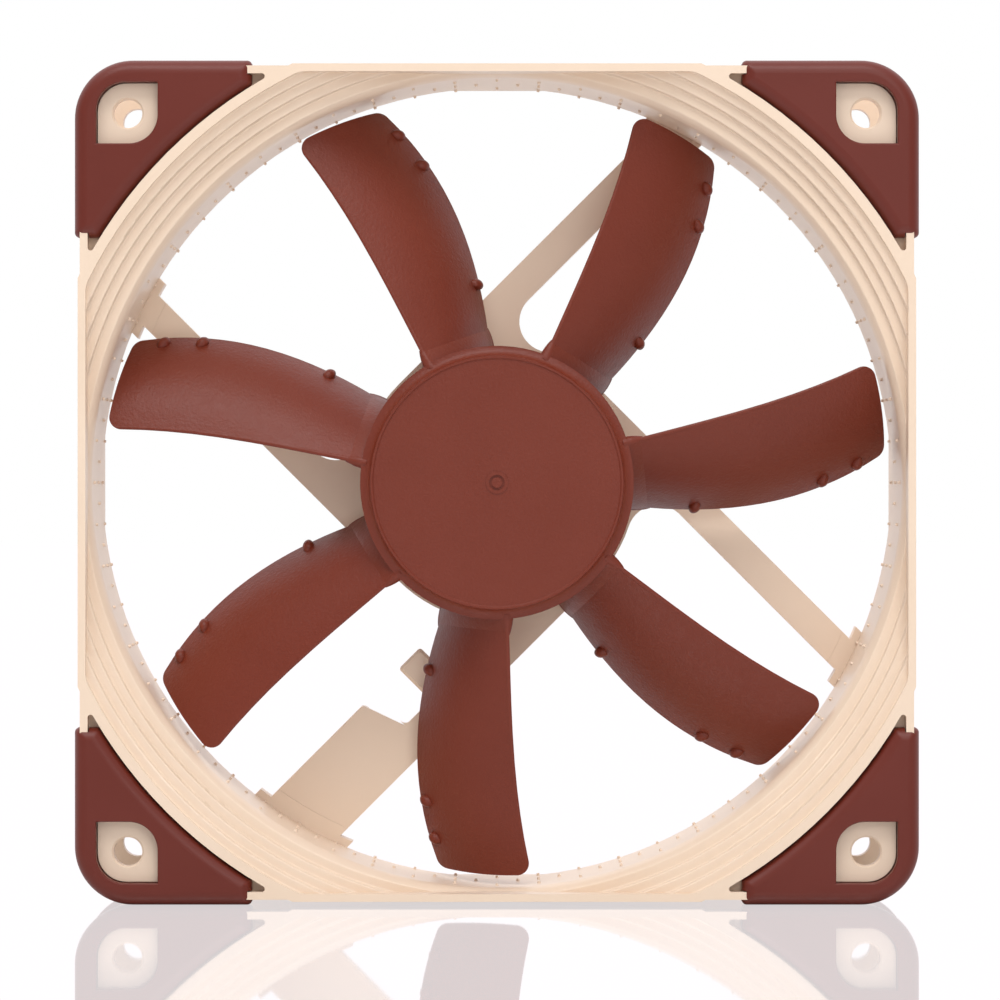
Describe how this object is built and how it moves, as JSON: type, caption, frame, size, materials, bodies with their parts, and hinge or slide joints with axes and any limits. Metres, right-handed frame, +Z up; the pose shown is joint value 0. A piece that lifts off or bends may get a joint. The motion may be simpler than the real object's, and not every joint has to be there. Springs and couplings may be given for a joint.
{
  "type": "case fan",
  "caption": "Square computer case fan with a stepped round inlet, soft corner pads, curved blades on a broad hub and tangential rear struts.",
  "frame": {"origin": "middle of the fan, on the rotor's axis, halfway between the inlet and outlet pad faces", "axes": "+Y is the rotor's axis and the way the air leaves, the inlet faces -Y; +Z is up and +X is to the right seen from the inlet, with the fan standing on edge"},
  "size_m": [0.12, 0.025, 0.12],
  "materials": {
    "beige_plastic": "satin moulded",
    "brown_plastic": "satin moulded, fine grain",
    "brown_rubber": "soft matte",
    "brass": "turned",
    "bearing_bronze": "sintered",
    "nylon": "natural",
    "magnet": "dull ferrite",
    "lamination_steel": "punched sheet",
    "copper_wire": "enamelled",
    "tin_plate": "tinned",
    "board_laminate": "solder mask",
    "chip_black": "moulded",
    "label_film": "matt film, blank",
    "yoke_steel": "pressed sheet",
    "shaft_steel": "ground"
  },
  "bodies": {
    "frame": {"frame_housing": "beige_plastic", "front_pad_top_right": "brown_rubber", "front_pad_top_left": "brown_rubber", "front_pad_bottom_left": "brown_rubber", "front_pad_bottom_right": "brown_rubber", "rear_pad_top_right": "brown_rubber", "rear_pad_top_left": "brown_rubber", "rear_pad_bottom_left": "brown_rubber", "rear_pad_bottom_right": "brown_rubber", "bearing_tube": "brass", "bearing_sleeve": "bearing_bronze", "seal_washer": "nylon", "thrust_pad": "nylon", "end_magnet": "magnet", "end_cap": "brass", "stator_core": "lamination_steel", "bobbin_front": "nylon", "bobbin_rear": "nylon", "coil_right": "copper_wire", "coil_top": "copper_wire", "coil_left": "copper_wire", "coil_bottom": "copper_wire", "winding_pins": "tin_plate", "circuit_board": "board_laminate", "driver_chip": "chip_black", "hall_sensor": "chip_black", "board_components": "chip_black", "rear_label": "label_film"},
    "rotor": {"impeller": "brown_plastic", "yoke_cup": "yoke_steel", "magnet_ring": "magnet", "shaft": "shaft_steel", "shaft_bush": "brass", "retaining_clip": "shaft_steel"}
  },
  "joints": [
    {"name": "rotor_spin", "type": "hinge", "parent": "frame", "child": "rotor", "pos_m": [0, 0, 0], "axis": [0, -1, 0], "continuous": true}
  ]
}
